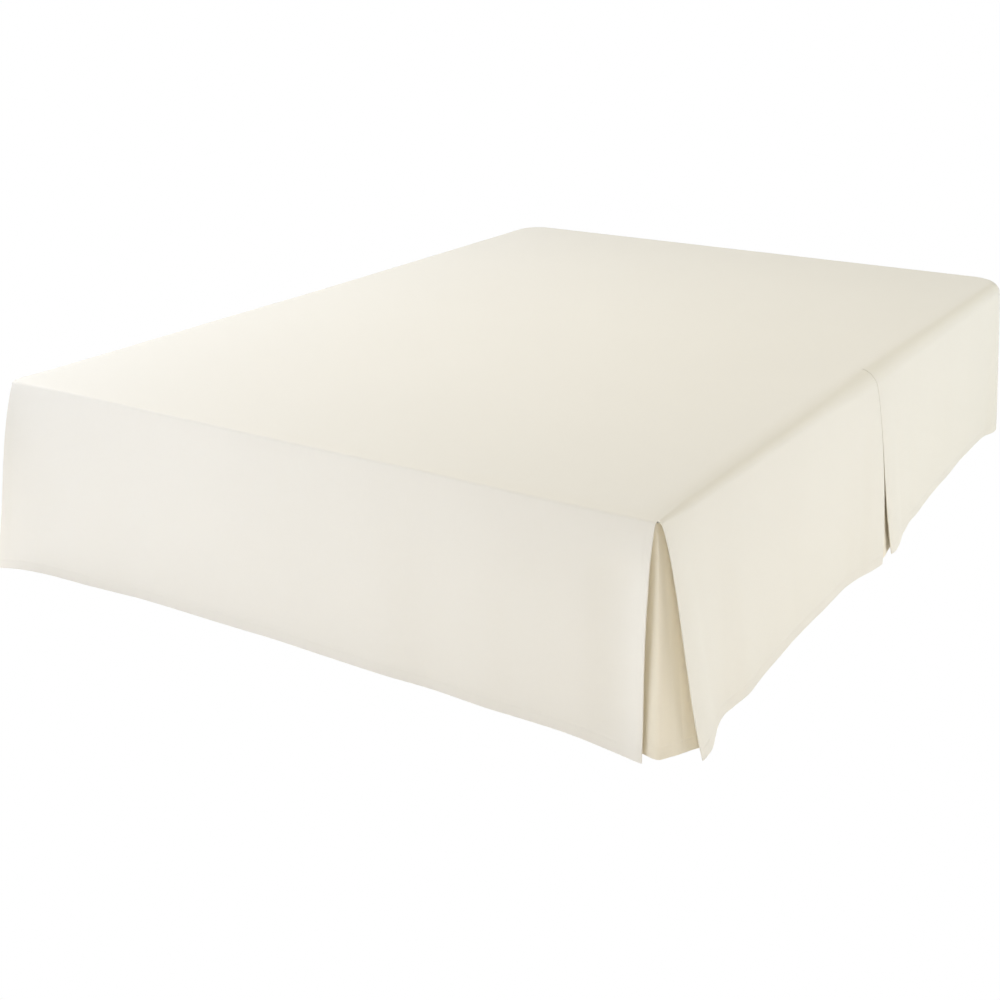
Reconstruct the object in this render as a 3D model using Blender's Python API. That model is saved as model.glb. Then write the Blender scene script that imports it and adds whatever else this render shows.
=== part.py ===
"""A tailored bed skirt on a plain bed base, full size (54 by 75 inches) with a 15 inch drop.

A flat deck of cloth lies on the base. Five drop panels hang from its edge: one across the
foot and two along each side. They part at the foot corners and half way along each side,
where an underlay hangs behind the opening. The head end is open, with the deck's hem turned
down over it.

Metres, +Z up. The foot of the bed faces -Y and its right side +X.
"""

import math
from collections import namedtuple

import bmesh
import bpy
from mathutils import Vector

# The bed and the drop
BED_WIDTH = 1.3716
BED_LENGTH = 1.905
TOP_HEIGHT = 0.387
HEM_CLEARANCE = 0.006
UNDERLAY_HEM_LIFT = 0.007

# The cloth and how it is layered, measured inwards from the outer face of the panels
CLOTH = 0.002
SEAM_GAP = 0.0006
PIECE_GAP = 0.0003
BASE_CLEARANCE = 0.0005
SEAM_BAND = 0.002
UNDERLAY_INSET = 0.003
UNDERLAY_START = 0.001
BASE_INSET = 0.007

# How the cloth turns over the edge of the bed: crisp at the foot, a soft roll along the sides
CRISP_ROLL = 0.004
SOFT_ROLL = 0.024
ROLL_GROWS_FROM = 0.30
ROLL_GROWS_OVER = 0.65
ROLL_STEPS = 3
DROP_ROWS = (0.04, 0.09, 0.16, 0.25, 0.36, 0.50, 0.66, 0.82, 1.0)

# Near the foot and the sides the cloth slopes down, over the rounded shoulder of the base
SHOULDER_WIDTH = 0.040
SHOULDER_STEPS = (0.011, 0.022, 0.0335)
LEFT_SHOULDER_SHARE = 0.5

# Corners in plan
HEAD_CORNER = 0.080
UNDERLAY_CORNER = 0.020
PANEL_END = CRISP_ROLL + SEAM_BAND + SEAM_GAP
HEAD_RETURN = 0.060
HEAD_FLAP_DROP = 0.030
HEAD_FLAP_GAP = 0.004

# The split half way along each side
CENTRE_SPLIT = 0.9355
SPLIT_GAP = 0.0020
PANEL_STEP = 0.050
UNDERLAY_STEP = 0.012

# The base under the cloth
BASE_THICKNESS = 0.230
BASE_TOP_ROLL = 0.034
BASE_FOOT_CORNER = 0.045
BASE_BOTTOM_EDGE = 0.006
LEG_RADIUS_TOP = 0.032
LEG_RADIUS_FLOOR = 0.024
LEG_INSET = 0.085
LEG_SIDES = 16
CORNER_STEPS = 6
SHARP_ANGLE = math.radians(40)
SAME_PLACE = 1e-6

HALF_WIDTH = BED_WIDTH / 2
HALF_LENGTH = BED_LENGTH / 2
HEAD_ARC = HEAD_CORNER * math.pi / 2
SIDE_END = BED_LENGTH - HEAD_CORNER

# One row for each fold of a hem. along is where the fold starts at the top edge, out is how far
# its hem stands off the bed, slide is how far the hem drifts along the edge, and lift raises it.
Fold = namedtuple("Fold", "along out slide lift")

# along is x across the foot, left to right
FOOT_FOLDS = (
    Fold(-0.6830, 0.0405, -0.043, 0.000),
    Fold(-0.6600, 0.0305, -0.032, 0.001),
    Fold(-0.6250, 0.0220, -0.020, 0.002),
    Fold(-0.5700, 0.0150, -0.008, 0.001),
    Fold(-0.5000, 0.0090, -0.003, 0.000),
    Fold(-0.4300, 0.0035, 0.000, 0.000),
    Fold(-0.3600, 0.0005, 0.000, 0.001),
    Fold(-0.2000, 0.0000, 0.000, 0.000),
    Fold(-0.0500, 0.0010, 0.000, 0.001),
    Fold(0.0500, 0.0025, 0.000, 0.000),
    Fold(0.1700, 0.0055, 0.000, 0.000),
    Fold(0.2900, 0.0055, 0.000, 0.001),
    Fold(0.4000, 0.0100, 0.000, 0.000),
    Fold(0.5200, 0.0125, 0.000, 0.002),
    Fold(0.5700, 0.0150, 0.001, 0.001),
    Fold(0.6100, 0.0165, 0.002, -0.002),
    Fold(0.6500, 0.0215, 0.002, -0.003),
    Fold(0.6805, 0.0300, 0.003, -0.001),
)

# along is measured from the foot corner towards the head, then round the head corner
NEAR_PANEL_FOLDS = (
    Fold(PANEL_END, 0.0740, 0.022, -0.001),
    Fold(0.0480, 0.0705, 0.019, 0.000),
    Fold(0.0900, 0.0585, 0.015, 0.001),
    Fold(0.1330, 0.0470, 0.011, 0.001),
    Fold(0.1680, 0.0425, 0.008, 0.001),
    Fold(0.2000, 0.0435, 0.004, 0.000),
    Fold(0.2600, 0.0462, 0.000, 0.000),
    Fold(0.3500, 0.0412, 0.000, 0.001),
    Fold(0.4500, 0.0365, 0.000, 0.000),
    Fold(0.5600, 0.0338, 0.000, 0.001),
    Fold(0.6800, 0.0325, -0.003, 0.000),
    Fold(0.7600, 0.0328, -0.008, 0.001),
    Fold(0.8200, 0.0400, -0.014, 0.001),
    Fold(0.8800, 0.0485, -0.022, 0.000),
    Fold(CENTRE_SPLIT - SPLIT_GAP / 2, 0.0540, -0.030, -0.001),
)
FAR_PANEL_FOLDS = (
    Fold(CENTRE_SPLIT + SPLIT_GAP / 2, 0.0530, 0.026, -0.001),
    Fold(0.9600, 0.0545, 0.020, 0.000),
    Fold(1.0000, 0.0510, 0.014, 0.001),
    Fold(1.0700, 0.0395, 0.007, 0.001),
    Fold(1.1500, 0.0280, 0.001, 0.000),
    Fold(1.2300, 0.0240, 0.000, 0.000),
    Fold(1.3200, 0.0180, 0.000, 0.001),
    Fold(1.4100, 0.0140, 0.000, 0.000),
    Fold(1.5000, 0.0095, 0.000, 0.000),
    Fold(1.6000, 0.0045, 0.000, 0.001),
    Fold(1.7000, 0.0020, 0.000, 0.000),
    Fold(SIDE_END - 0.030, 0.0015, 0.000, 0.000),
    Fold(SIDE_END, 0.0060, 0.000, 0.000),
    Fold(SIDE_END + HEAD_ARC * 0.25, 0.0220, 0.000, 0.000),
    Fold(SIDE_END + HEAD_ARC * 0.50, 0.0360, 0.000, -0.001),
    Fold(SIDE_END + HEAD_ARC * 0.75, 0.0220, 0.000, 0.000),
    Fold(SIDE_END + HEAD_ARC, 0.0080, 0.000, 0.000),
    Fold(SIDE_END + HEAD_ARC + HEAD_RETURN, 0.0060, 0.000, 0.000),
)

# Negative along is round the corner, on the foot
CORNER_UNDERLAY_FOLDS = (
    Fold(-0.1200, 0.0060, 0.000, 0.000),
    Fold(-0.0600, 0.0100, 0.000, 0.000),
    Fold(-0.0300, 0.0175, 0.000, 0.001),
    Fold(-0.0235, 0.0240, 0.000, 0.002),
    Fold(-0.0155, 0.0380, 0.000, 0.000),
    Fold(-0.0115, 0.0340, 0.000, -0.003),
    Fold(-0.0060, 0.0350, 0.000, -0.003),
    Fold(0.0000, 0.0455, 0.000, 0.000),
    Fold(0.0120, 0.0560, 0.000, 0.003),
    Fold(0.0240, 0.0640, 0.000, 0.004),
    Fold(0.0400, 0.0620, 0.000, 0.003),
    Fold(0.0700, 0.0555, 0.000, 0.000),
    Fold(0.1000, 0.0470, 0.000, 0.000),
    Fold(0.1300, 0.0400, 0.000, 0.000),
)
CENTRE_UNDERLAY_FOLDS = (
    Fold(CENTRE_SPLIT - 0.090, 0.0340, 0.000, -0.006),
    Fold(CENTRE_SPLIT - 0.040, 0.0400, 0.000, -0.007),
    Fold(CENTRE_SPLIT, 0.0470, 0.000, -0.009),
    Fold(CENTRE_SPLIT + 0.035, 0.0440, 0.000, -0.007),
    Fold(CENTRE_SPLIT + 0.090, 0.0380, 0.000, -0.006),
)

# One row for each place where the cloth's drop at the edge of the shoulder is given
Sag = namedtuple("Sag", "along drop")

FOOT_SHOULDER = (
    Sag(-0.686, 0.0040),
    Sag(-0.500, 0.0020),
    Sag(-0.250, 0.0035),
    Sag(0.000, 0.0045),
    Sag(0.250, 0.0030),
    Sag(0.450, 0.0045),
    Sag(0.686, 0.0035),
)
SIDE_SHOULDER = (
    Sag(0.000, 0.0030),
    Sag(0.120, 0.0045),
    Sag(0.350, 0.0065),
    Sag(0.600, 0.0070),
    Sag(0.940, 0.0075),
    Sag(1.400, 0.0060),
    Sag(1.905, 0.0030),
)

# How a fold opens down the drop: settle is how early it stands off, ease how late it starts to,
# and slide how late it drifts sideways
Hang = namedtuple("Hang", "settle ease slide")

FOOT_HANG = Hang(4.0, 1.0, 2.3)
SIDE_HANG = Hang(1.0, 0.70, 4.0)
UNDERLAY_HANG = Hang(1.0, 0.70, 1.0)

# Each surface's colour and roughness
IVORY = (0.855, 0.815, 0.735)
IVORY_ROUGHNESS = 0.85
TICKING = (0.800, 0.790, 0.760)
TICKING_ROUGHNESS = 0.90
BEECH = (0.325, 0.195, 0.102)
WOOD_ROUGHNESS = 0.50


def plain_material(name, colour, roughness):
    """A plain surface of one colour."""
    material = bpy.data.materials.new(name)
    material.use_nodes = True
    shader = material.node_tree.nodes["Principled BSDF"]
    shader.inputs["Base Color"].default_value = (*colour, 1.0)
    shader.inputs["Roughness"].default_value = roughness
    shader.inputs["Metallic"].default_value = 0.0
    material.diffuse_color = (*colour, 1.0)
    return material


def add_object(name, bm, material):
    """Turn a bmesh into a named, smooth-shaded object in the scene."""
    mesh = bpy.data.meshes.new(name)
    bm.to_mesh(mesh)
    bm.free()
    mesh.materials.append(material)
    mesh.shade_smooth()
    mesh.set_sharp_from_angle(angle=SHARP_ANGLE)
    obj = bpy.data.objects.new(name, mesh)
    bpy.context.scene.collection.objects.link(obj)
    return obj


def add_sheet(name, bm, material):
    """Add an open surface as cloth, with its thickness on the inner side."""
    obj = add_object(name, bm, material)
    thickness = obj.modifiers.new("cloth thickness", 'SOLIDIFY')
    thickness.thickness = CLOTH
    thickness.offset = -1.0
    thickness.use_even_offset = True


# ---- where the edge of the bed runs, seen from above ----

def foot_edge(x):
    """Point and outward direction on the foot edge."""
    return Vector((x, -HALF_LENGTH)), Vector((0.0, -1.0))


def arc_point(centre, radius, angle):
    """Point and outward direction on a corner arc, angle measured from +X."""
    outward = Vector((math.cos(angle), math.sin(angle)))
    return centre + radius * outward, outward


def side_edge(along, foot_corner=0.0):
    """Point and outward direction on the right edge, from the foot corner and round both ends."""
    foot_arc = foot_corner * math.pi / 2
    side_start = foot_corner - HALF_LENGTH
    side_length = SIDE_END - foot_corner
    if along < -foot_arc:
        return foot_edge(HALF_WIDTH - foot_corner + along + foot_arc)
    if along < 0:
        centre = Vector((HALF_WIDTH - foot_corner, side_start))
        return arc_point(centre, foot_corner, along / foot_corner)
    if along <= side_length:
        return Vector((HALF_WIDTH, side_start + along)), Vector((1.0, 0.0))
    beyond = along - side_length
    if beyond <= HEAD_ARC:
        centre = Vector((HALF_WIDTH - HEAD_CORNER, HALF_LENGTH - HEAD_CORNER))
        return arc_point(centre, HEAD_CORNER, beyond / HEAD_CORNER)
    return Vector((HALF_WIDTH - HEAD_CORNER - (beyond - HEAD_ARC), HALF_LENGTH)), Vector((0.0, 1.0))


def underlay_edge(along):
    """The side edge with the rounder foot corner that the underlay takes."""
    return side_edge(along, UNDERLAY_CORNER)


def swell(t):
    """A smooth step from 0 to 1."""
    t = min(max(t, 0.0), 1.0)
    return t * t * (3 - 2 * t)


def side_roll(along):
    """Radius of the soft roll at the top of a side panel."""
    grown = swell((along - ROLL_GROWS_FROM) / ROLL_GROWS_OVER)
    return CRISP_ROLL + (SOFT_ROLL - CRISP_ROLL) * grown


def foot_roll(x):
    """Radius of the crisp turn at the top of the foot panel."""
    return CRISP_ROLL


def sag_at(sags, along):
    """The drop of the shoulder read at any place between two rows of its table."""
    along = min(max(along, sags[0].along), sags[-1].along)
    for before, after in zip(sags, sags[1:]):
        if along <= after.along:
            share = swell((along - before.along) / (after.along - before.along))
            return before.drop + (after.drop - before.drop) * share
    return sags[-1].drop


def shoulder_drop(place):
    """How far the cloth lies below the middle of the deck, near the foot and the sides."""
    from_foot = max(place.y + HALF_LENGTH, 0.0)
    from_side = max(HALF_WIDTH - abs(place.x), 0.0)
    foot_share = max(1 - from_foot / SHOULDER_WIDTH, 0.0) ** 2
    side_share = max(1 - from_side / SHOULDER_WIDTH, 0.0) ** 2
    if place.x < 0:
        side_share *= LEFT_SHOULDER_SHARE
    return math.hypot(sag_at(FOOT_SHOULDER, place.x) * foot_share,
                      sag_at(SIDE_SHOULDER, from_foot) * side_share)


# ---- hanging cloth ----

def curve_between(before, start, end, after, values, at):
    """Smooth curve through four neighbouring (place, value) pairs, read between the middle two."""
    width = end - start
    t = (at - start) / width
    v0, v1, v2, v3 = values
    slope_1 = (v2 - v0) / (end - before) * width
    slope_2 = (v3 - v1) / (after - start) * width
    return (v1 * (2 * t ** 3 - 3 * t ** 2 + 1) + slope_1 * (t ** 3 - 2 * t ** 2 + t)
            + v2 * (3 * t ** 2 - 2 * t ** 3) + slope_2 * (t ** 3 - t ** 2))


def fold_at(folds, at):
    """The table of folds read at any place between its first and last rows."""
    last = len(folds) - 1
    index = max(i for i in range(last) if folds[i].along <= at + SAME_PLACE)
    near = [folds[max(index - 1, 0)], folds[index], folds[index + 1], folds[min(index + 2, last)]]
    places = [fold.along for fold in near]
    read = [curve_between(*places, [fold[column] for fold in near], at) for column in (1, 2, 3)]
    return Fold(at, *read)


def columns_between(folds, step):
    """Folds at each row of the table and at even steps between the rows."""
    columns = []
    for fold, following in zip(folds, folds[1:]):
        count = math.ceil((following.along - fold.along) / step - SAME_PLACE)
        width = (following.along - fold.along) / count
        columns += [fold_at(folds, fold.along + i * width) for i in range(count)]
    return columns + [folds[-1]]


def panel_section(roll, hem):
    """Inset and height down a panel: a flat seam band, the roll over the edge and the drop."""
    section = [(roll + SEAM_BAND, TOP_HEIGHT)]
    for i in range(ROLL_STEPS + 1):
        angle = i / ROLL_STEPS * math.pi / 2
        section.append((roll - roll * math.sin(angle), TOP_HEIGHT - roll + roll * math.cos(angle)))
    top = TOP_HEIGHT - roll
    return section + [(0.0, top + (hem - top) * row) for row in DROP_ROWS]


def underlay_section(roll, hem):
    """Inset and height down an underlay, which starts behind the panels just below their roll."""
    top = TOP_HEIGHT - roll - UNDERLAY_START
    return [(UNDERLAY_INSET, top + (hem - top) * row) for row in (0.0,) + DROP_ROWS]


def hanging_sheet(name, material, edge, roll, section, hang, folds, step, lift=0.0, mirror=False):
    """A sheet of cloth that hangs from an edge of the bed and swings out in its folds."""
    bm = bmesh.new()
    hand = -1.0 if mirror else 1.0
    grid = []
    for fold in columns_between(folds, step):
        point, outward = edge(fold.along)
        forward = Vector((-outward.y, outward.x))
        hem = HEM_CLEARANCE + lift + fold.lift
        column = []
        for inset, height in section(roll(fold.along), hem):
            depth = (TOP_HEIGHT - height) / (TOP_HEIGHT - hem)
            stand_off = fold.out * (1 - (1 - depth) ** hang.settle) ** hang.ease - inset
            place = point + outward * stand_off + forward * fold.slide * depth ** hang.slide
            rest = point - outward * inset
            drop = shoulder_drop(Vector((hand * rest.x, rest.y))) * (1 - depth)
            column.append(bm.verts.new((hand * place.x, place.y, height - drop)))
        grid.append(column)
    for column, following in zip(grid, grid[1:]):
        for i in range(len(column) - 1):
            corners = (column[i], column[i + 1], following[i + 1], following[i])
            bm.faces.new(corners[::-1] if mirror else corners)
    add_sheet(name, bm, material)


def evened(folds):
    """The same hem with its inner folds smoothed towards their neighbours."""
    inner = []
    for before, fold, after in zip(folds, folds[1:], folds[2:]):
        inner.append(fold._replace(out=(before.out + 2 * fold.out + after.out) / 4))
    return (folds[0], *inner, folds[-1])


def build_foot_panel(cloth):
    """The one panel across the foot, flared at both ends."""
    hanging_sheet("foot_panel", cloth, foot_edge, foot_roll, panel_section, FOOT_HANG, FOOT_FOLDS,
                  PANEL_STEP)


def build_side(hand, cloth):
    """Two panels and two underlays along one long side; the left one hangs more evenly."""
    left = hand == "left"
    settle = evened if left else tuple
    for part, folds in (("near", NEAR_PANEL_FOLDS), ("far", FAR_PANEL_FOLDS)):
        hanging_sheet(f"side_panel_{hand}_{part}", cloth, side_edge, side_roll, panel_section,
                      SIDE_HANG, settle(folds), PANEL_STEP, mirror=left)
    hanging_sheet(f"corner_underlay_{hand}", cloth, underlay_edge, side_roll, underlay_section,
                  UNDERLAY_HANG, settle(CORNER_UNDERLAY_FOLDS), UNDERLAY_STEP, UNDERLAY_HEM_LIFT,
                  left)
    hanging_sheet(f"centre_underlay_{hand}", cloth, side_edge, side_roll, underlay_section,
                  UNDERLAY_HANG, settle(CENTRE_UNDERLAY_FOLDS), PANEL_STEP, UNDERLAY_HEM_LIFT, left)


def deck_ring(step):
    """Right half of one level of the deck's shoulder, from the middle of the foot to the head."""
    foot_limit = PANEL_END + step - HALF_LENGTH
    ring = [Vector((min(sag.along, HALF_WIDTH - PANEL_END - step), foot_limit))
            for sag in FOOT_SHOULDER if sag.along >= 0]
    columns = columns_between(NEAR_PANEL_FOLDS, PANEL_STEP)[1:]
    columns += columns_between(FAR_PANEL_FOLDS, PANEL_STEP)
    for column in columns:
        point, outward = side_edge(column.along)
        place = point - outward * (side_roll(column.along) + SEAM_BAND + SEAM_GAP + step)
        ring.append(Vector((place.x, max(place.y, foot_limit))))
    ring.append(ring[-1] - Vector((HEAD_FLAP_GAP, 0.0)))
    return ring


def build_deck(cloth):
    """The platform cloth: flat in the middle, sloping at the shoulder, with its head hem turned."""
    bm = bmesh.new()
    rings = []
    for step in (0.0,) + SHOULDER_STEPS:
        right = deck_ring(step)
        left = [Vector((-point.x, point.y)) for point in reversed(right) if point.x > 0]
        rings.append([bm.verts.new((point.x, point.y, TOP_HEIGHT - shoulder_drop(point)))
                      for point in right + left])
    for outer, inner in zip(rings, rings[1:]):
        for i in range(len(outer)):
            j = (i + 1) % len(outer)
            bm.faces.new((outer[i], outer[j], inner[j], inner[i]))
    bm.faces.new(rings[-1])
    head = len(right)
    edge = (rings[0][head], rings[0][head - 1])
    section = panel_section(SOFT_ROLL, TOP_HEIGHT - SOFT_ROLL - HEAD_FLAP_DROP)[1:ROLL_STEPS + 2]
    section.append((0.0, TOP_HEIGHT - SOFT_ROLL - HEAD_FLAP_DROP))
    for inset, height in section:
        following = [bm.verts.new((vert.co.x, HALF_LENGTH - inset, height)) for vert in edge]
        bm.faces.new((edge[0], edge[1], following[1], following[0]))
        edge = following
    add_sheet("deck", bm, cloth)


# ---- the base under the cloth ----

def base_ring(bm, inset, height):
    """One level of the base's outline, rounded at its four corners."""
    foot_radius = BASE_FOOT_CORNER - inset
    head_radius = HEAD_CORNER - BASE_INSET - inset
    side = HALF_WIDTH - BASE_INSET - inset
    end = HALF_LENGTH - BASE_INSET - inset
    corners = ((side, -end, foot_radius, -90), (side, end, head_radius, 0),
               (-side, end, head_radius, 90), (-side, -end, foot_radius, 180))
    ring = []
    for x, y, radius, start in corners:
        centre = Vector((x - math.copysign(radius, x), y - math.copysign(radius, y)))
        for i in range(CORNER_STEPS + 1):
            point, _ = arc_point(centre, radius, math.radians(start + 90 * i / CORNER_STEPS))
            ring.append(bm.verts.new((point.x, point.y, height)))
    return ring


def build_base(ticking):
    """The padded box foundation, rounded over its top edge."""
    top = TOP_HEIGHT - CLOTH - BASE_CLEARANCE
    bottom = top - BASE_THICKNESS
    levels = [(BASE_BOTTOM_EDGE, bottom), (0.0, bottom + BASE_BOTTOM_EDGE)]
    for i in range(CORNER_STEPS + 1):
        angle = i / CORNER_STEPS * math.pi / 2
        inset = BASE_TOP_ROLL * (1 - math.cos(angle))
        levels.append((inset, top - BASE_TOP_ROLL * (1 - math.sin(angle))))
    bm = bmesh.new()
    rings = [base_ring(bm, inset, height) for inset, height in levels]
    bm.faces.new(rings[0])
    bm.faces.new(rings[-1])
    for ring, following in zip(rings, rings[1:]):
        for i in range(len(ring)):
            j = (i + 1) % len(ring)
            bm.faces.new((ring[i], ring[j], following[j], following[i]))
    bmesh.ops.recalc_face_normals(bm, faces=bm.faces)
    add_object("bed_base", bm, ticking)
    return bottom


def build_legs(wood, base_bottom):
    """Six turned legs that stand on the floor, three along each side."""
    height = base_bottom - PIECE_GAP
    across = HALF_WIDTH - BASE_INSET - LEG_INSET
    lengthways = HALF_LENGTH - BASE_INSET - LEG_INSET
    for end, y in (("foot", -lengthways), ("middle", 0.0), ("head", lengthways)):
        for hand, x in (("right", across), ("left", -across)):
            bm = bmesh.new()
            bmesh.ops.create_cone(bm, cap_ends=True, segments=LEG_SIDES, radius1=LEG_RADIUS_FLOOR,
                                  radius2=LEG_RADIUS_TOP, depth=height)
            leg = add_object(f"leg_{end}_{hand}", bm, wood)
            leg.location = (x, y, height / 2)


def centre_on_origin():
    """Move everything so that the middle of the whole object's box is over the origin."""
    bpy.context.view_layer.update()
    corners = [obj.matrix_world @ vert.co for obj in bpy.context.scene.objects
               for vert in obj.data.vertices]
    for axis in (0, 1):
        middle = (min(c[axis] for c in corners) + max(c[axis] for c in corners)) / 2
        for obj in bpy.context.scene.objects:
            obj.location[axis] -= middle


def main():
    for obj in list(bpy.data.objects):
        bpy.data.objects.remove(obj, do_unlink=True)
    cloth = plain_material("ivory cloth", IVORY, IVORY_ROUGHNESS)
    ticking = plain_material("base ticking", TICKING, TICKING_ROUGHNESS)
    wood = plain_material("leg wood", BEECH, WOOD_ROUGHNESS)
    build_deck(cloth)
    build_foot_panel(cloth)
    build_side("right", cloth)
    build_side("left", cloth)
    base_bottom = build_base(ticking)
    build_legs(wood, base_bottom)
    centre_on_origin()


main()
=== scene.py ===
# %% [markdown]
# # A tailored bed skirt over a plain bed base
#
# A bed skirt hides what is under a mattress. Its deck is a flat cloth that the mattress holds
# down, and its panels are sewn round the deck's edge and hang almost to the floor. Where two
# panels meet, an underlay hangs behind the opening, so that nothing shows when the cloth parts.
#
# This lesson dresses a finished, rigid model of that object. The model gives every size and
# place, and each rigid sheet in it is swapped for a finer sheet of cloth with seams, hems,
# stitches and soft creases. All sizes are in metres.

import math
from collections import namedtuple

import bmesh
import bpy
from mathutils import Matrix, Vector, noise


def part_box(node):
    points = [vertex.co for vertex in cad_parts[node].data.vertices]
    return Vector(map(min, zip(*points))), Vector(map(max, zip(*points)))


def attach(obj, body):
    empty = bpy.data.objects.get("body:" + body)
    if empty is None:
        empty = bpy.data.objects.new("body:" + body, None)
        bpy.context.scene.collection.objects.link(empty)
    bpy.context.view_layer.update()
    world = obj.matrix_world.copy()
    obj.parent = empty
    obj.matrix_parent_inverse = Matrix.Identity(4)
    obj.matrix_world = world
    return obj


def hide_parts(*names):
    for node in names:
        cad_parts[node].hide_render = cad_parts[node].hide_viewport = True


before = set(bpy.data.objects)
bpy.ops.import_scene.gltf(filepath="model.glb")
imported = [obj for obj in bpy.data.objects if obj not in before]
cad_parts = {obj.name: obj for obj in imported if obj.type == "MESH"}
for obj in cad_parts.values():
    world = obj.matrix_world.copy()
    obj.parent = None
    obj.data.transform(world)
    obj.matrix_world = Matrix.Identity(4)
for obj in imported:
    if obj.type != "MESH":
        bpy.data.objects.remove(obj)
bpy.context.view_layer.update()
bpy.ops.object.select_all(action='DESELECT')
scene = bpy.context.scene

# %% [markdown]
# ## The camera
#
# The camera comes first, because every later choice is judged through it. It stands off the
# near right corner at the height of a person's chest and looks down the length of the bed.
# A lens of about 55 mm keeps the far end from shrinking too fast. The view is shifted down a
# little instead of tilted, as an architect's camera does, so that upright edges stay upright.

# %% Place the camera
BASE_INSET = 0.007
FOOT_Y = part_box("bed_base")[0].y - BASE_INSET
LENS_MM = 55.31
VIEW_SHIFT = -0.12
CAMERA_PLACE = (1.5981, FOOT_Y - 1.8794, 1.2075)
CAMERA_TURN = math.radians(32.205)
CAMERA_DIP = math.radians(16.322)

bpy.ops.object.camera_add(location=CAMERA_PLACE,
                          rotation=(math.pi / 2 - CAMERA_DIP, 0.0, CAMERA_TURN))
camera = bpy.context.object
camera.name = "studio_camera"
camera.data.lens = LENS_MM
camera.data.shift_y = VIEW_SHIFT
scene.camera = camera
print("camera at", [round(place, 2) for place in camera.location])

# %% [markdown]
# ## The studio
#
# Pale cloth looks best on white, with broad lamps all round, so that its folds show as
# soft changes of tone and not as hard shadows. A big square lamp throws no sharp edge, and
# several weak ones from different sides leave each fold a light flank and a slightly darker
# one. The lamps on the left and at the foot are cooler, as daylight is, the one overhead is
# warmer, and a small amber one stands off the near corner.
# The floor and the room glow full white where the lens sees them, but give the cloth only a
# share of that light, or its underside would be as bright as its face.

# %% Make the room white
scene.view_settings.view_transform = 'Standard'
ROOM_WHITE = (1.0, 1.0, 1.0, 1.0)
ROOM_LIGHT = 0.10

world = bpy.data.worlds.new("studio_room")
scene.world = world
world.use_nodes = True
room = world.node_tree.nodes["Background"]
room.inputs["Color"].default_value = ROOM_WHITE
ray = world.node_tree.nodes.new("ShaderNodeLightPath")
share = world.node_tree.nodes.new("ShaderNodeMapRange")
share.inputs["To Min"].default_value = ROOM_LIGHT
share.inputs["To Max"].default_value = 1.0
world.node_tree.links.new(ray.outputs["Is Camera Ray"], share.inputs["Value"])
world.node_tree.links.new(share.outputs["Result"], room.inputs["Strength"])
print("the room gives the cloth", ROOM_LIGHT, "of its light")

# %% Hang the lamps
Lamp = namedtuple("Lamp", "name place size watts colour")
AMBER = (1.00, 0.86, 0.50)
WARM = (1.00, 0.93, 0.73)
WHITE = (0.91, 0.99, 1.00)
COOL = (0.88, 0.90, 1.00)
COOLER = (0.80, 0.86, 1.00)
LAMPS = (
    Lamp("overhead_lamp", (0.0, 0.2, 3.4), 2.6, 53.7, WARM),
    Lamp("left_lamp", (-3.4, -0.6, 1.9), 2.2, 136.0, COOLER),
    Lamp("right_head_lamp", (3.4, 2.6, 1.8), 2.4, 52.5, WHITE),
    Lamp("right_low_lamp", (3.2, -0.4, 0.7), 1.4, 21.8, COOL),
    Lamp("right_foot_lamp", (2.2, -3.4, 1.0), 1.2, 11.2, AMBER),
    Lamp("foot_lamp", (-0.7, -3.5, 1.5), 2.0, 40.6, COOLER),
)
LAMPS_AIM = Vector((0.0, 0.0, 0.2))

for lamp in LAMPS:
    turn = (LAMPS_AIM - Vector(lamp.place)).to_track_quat('-Z', 'Y').to_euler()
    bpy.ops.object.light_add(type='AREA', location=lamp.place, rotation=turn)
    light = bpy.context.object
    light.name = lamp.name
    light.visible_camera = False
    light.data.shape = 'SQUARE'
    light.data.size = lamp.size
    light.data.energy = lamp.watts
    light.data.color = lamp.colour
    print(lamp.name, f"{lamp.watts:.0f} W")

# %% Lay the studio floor
FLOOR_RADIUS = 14.0
FLOOR_SIDES = 96
FLOOR_COLOUR = (0.92, 0.92, 0.92, 1.0)
FLOOR_ROUGHNESS = 0.9
FLOOR_SPECULAR = 0.1
FLOOR_LIGHT = 0.30


def new_material(name):
    """A new material with its node tree and its main shader."""
    material = bpy.data.materials.new(name)
    material.use_nodes = True
    return material, material.node_tree, material.node_tree.nodes["Principled BSDF"]


bpy.ops.mesh.primitive_circle_add(vertices=FLOOR_SIDES, radius=FLOOR_RADIUS, fill_type='NGON')
floor = bpy.context.object
floor.name = "studio_floor"
floor_paint, tree, shader = new_material("white studio floor")
shader.inputs["Base Color"].default_value = FLOOR_COLOUR
shader.inputs["Roughness"].default_value = FLOOR_ROUGHNESS
shader.inputs["Specular IOR Level"].default_value = FLOOR_SPECULAR
shader.inputs["Emission Color"].default_value = ROOM_WHITE
shader.inputs["Emission Strength"].default_value = FLOOR_LIGHT

white_sheet = tree.nodes.new("ShaderNodeEmission")
lens_ray = tree.nodes.new("ShaderNodeLightPath")
either = tree.nodes.new("ShaderNodeMixShader")
tree.links.new(lens_ray.outputs["Is Camera Ray"], either.inputs["Fac"])
tree.links.new(shader.outputs["BSDF"], either.inputs[1])
tree.links.new(white_sheet.outputs["Emission"], either.inputs[2])
tree.links.new(either.outputs["Shader"], tree.nodes["Material Output"].inputs["Surface"])
floor.data.materials.append(floor_paint)
print("floor", 2 * FLOOR_RADIUS, "m wide")

# %% [markdown]
# ## The edge of the bed
#
# Every panel is sewn along a line in the plan of the bed: straight across the foot, straight
# up each side, and round a soft corner at the head. One function walks along that line and
# tells, for any distance, where the edge is and which way is outwards. All the cloth is then
# hung from it, so the panels follow the bed however the bed is sized.

# %% Read the bed's sizes
HEAD_CORNER = 0.080
HEAD_RETURN = 0.060

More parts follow.
